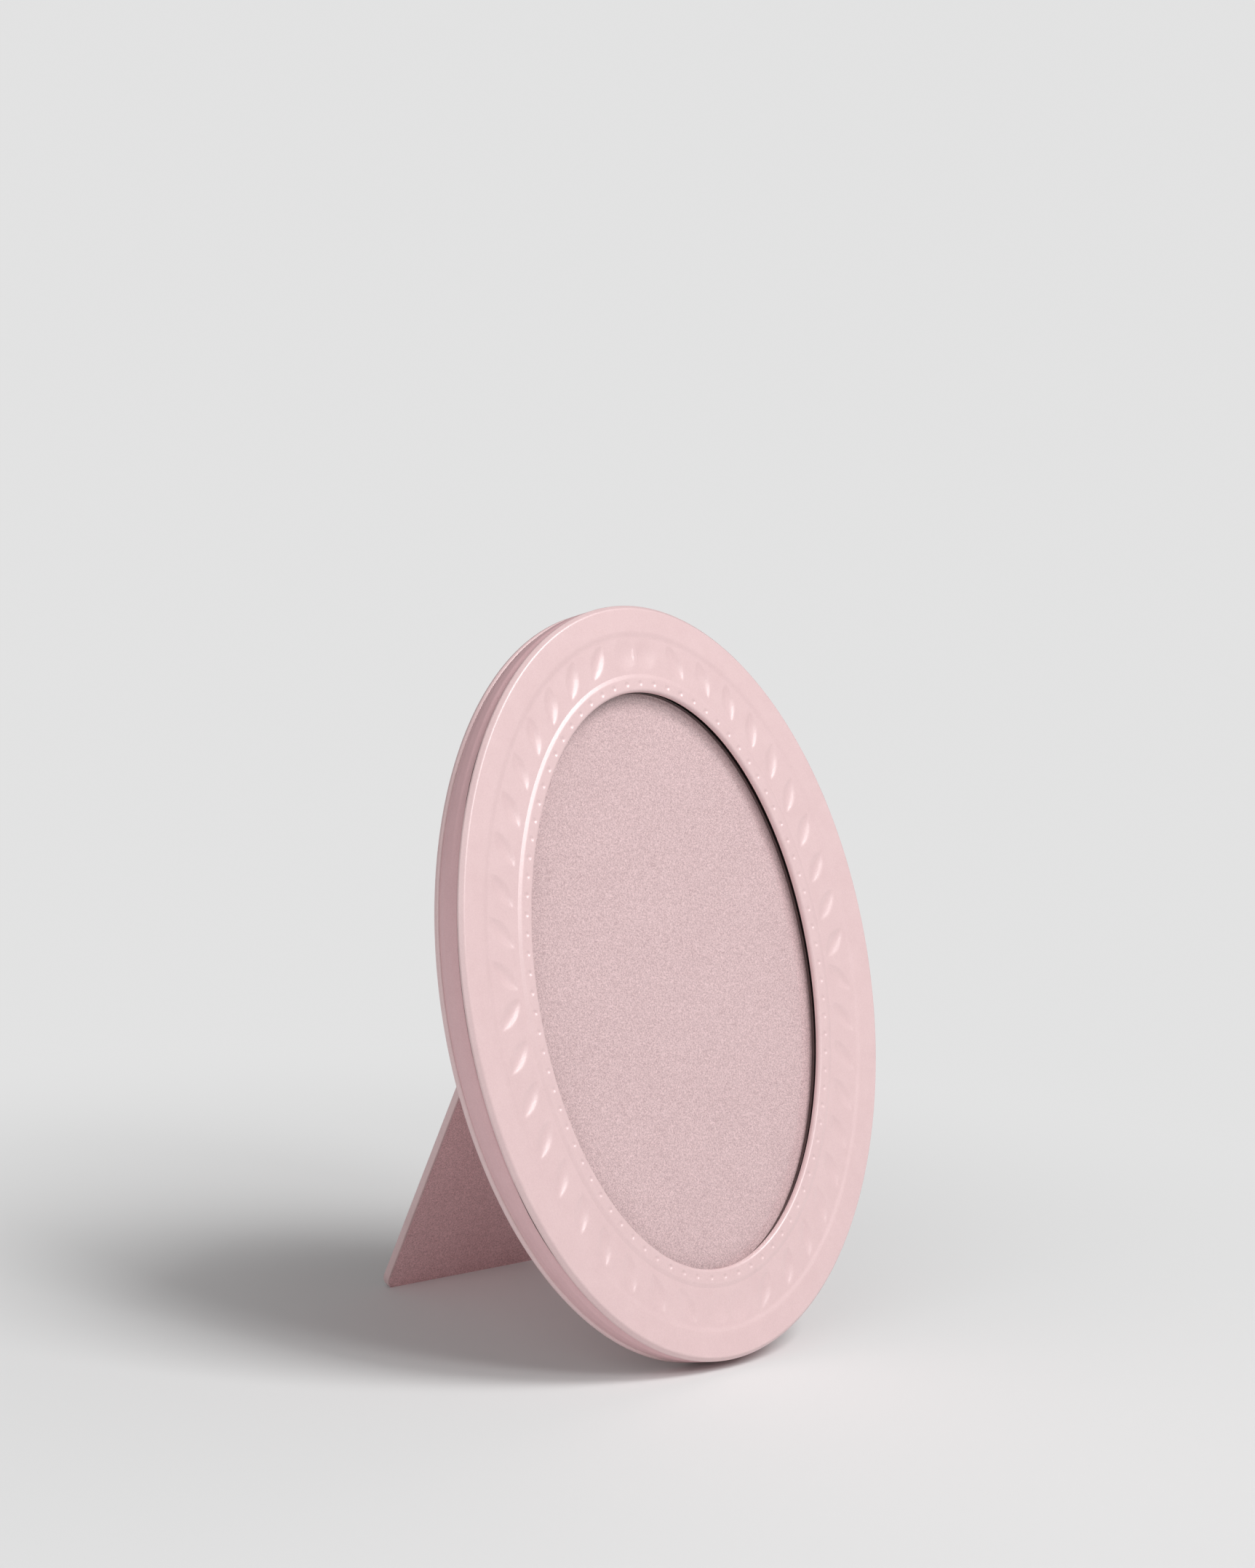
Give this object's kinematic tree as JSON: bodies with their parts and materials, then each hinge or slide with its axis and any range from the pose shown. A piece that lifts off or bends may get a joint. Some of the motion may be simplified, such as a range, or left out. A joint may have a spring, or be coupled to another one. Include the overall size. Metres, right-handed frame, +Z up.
{
  "type": "oval picture frame",
  "caption": "Oval tabletop picture frame: tooled leather front, side band and rim, glass over a suede display, removable back, and a folding easel leg.",
  "frame": {"origin": "on the table, under the middle of the whole frame's box with the leg open", "axes": "+Z up, the front faces -Y and leans back by 17 degrees, +X to the right seen from the front"},
  "size_m": [0.143, 0.103, 0.1869],
  "materials": {
    "tooled_leather": "smooth calf, blind tooled, satin",
    "side_leather": "smooth calf, satin",
    "rim_leather": "smooth calf, satin",
    "leg_leather": "smooth calf, satin",
    "display_suede": "suede nap, matt",
    "panel_suede": "suede nap, matt",
    "leg_suede": "suede nap, matt",
    "board": "plain grey board",
    "wood": "plain, unfinished",
    "pad": "pressed felt",
    "glass": "clear float glass, ground edge",
    "brass": "satin brass",
    "steel": "drawn wire"
  },
  "bodies": {
    "frame": {"face_leather": "tooled_leather", "face_board": "board", "body_ring": "wood", "side_leather": "side_leather", "back_rim_card": "board", "back_rim_leather": "rim_leather", "glass_pane": "glass", "display_suede": "display_suede", "display_board": "board", "pressure_pad": "pad", "back_panel_board": "board", "back_panel_suede": "panel_suede", "button_screws": "brass", "hinge_fixed_leaf": "brass", "fixed_leaf_rivets": "brass", "hinge_pin": "steel"},
    "leg": {"hinge_moving_leaf": "brass", "moving_leaf_rivets": "brass", "leg_board": "board", "leg_leather": "leg_leather", "leg_suede": "leg_suede"},
    "turn_button_1": {"turn_button_1": "brass"},
    "turn_button_2": {"turn_button_2": "brass"},
    "turn_button_3": {"turn_button_3": "brass"},
    "turn_button_4": {"turn_button_4": "brass"}
  },
  "joints": [
    {"name": "leg_fold", "type": "hinge", "parent": "frame", "child": "leg", "pos_m": [0, 0.00299, 0.14067], "axis": [-1, 0, 0], "range_deg": [0, 35.5]},
    {"name": "turn_button_1_turn", "type": "hinge", "parent": "frame", "child": "turn_button_1", "pos_m": [0.04481, 0.00319, 0.14647], "axis": [0, 0.9563, -0.2924], "range_deg": [0, 90]},
    {"name": "turn_button_2_turn", "type": "hinge", "parent": "frame", "child": "turn_button_2", "pos_m": [-0.04481, 0.00319, 0.14647], "axis": [0, -0.9563, 0.2924], "range_deg": [0, 90]},
    {"name": "turn_button_3_turn", "type": "hinge", "parent": "frame", "child": "turn_button_3", "pos_m": [-0.04481, -0.03014, 0.03744], "axis": [0, 0.9563, -0.2924], "range_deg": [0, 90]},
    {"name": "turn_button_4_turn", "type": "hinge", "parent": "frame", "child": "turn_button_4", "pos_m": [0.04481, -0.03014, 0.03744], "axis": [0, -0.9563, 0.2924], "range_deg": [0, 90]}
  ]
}
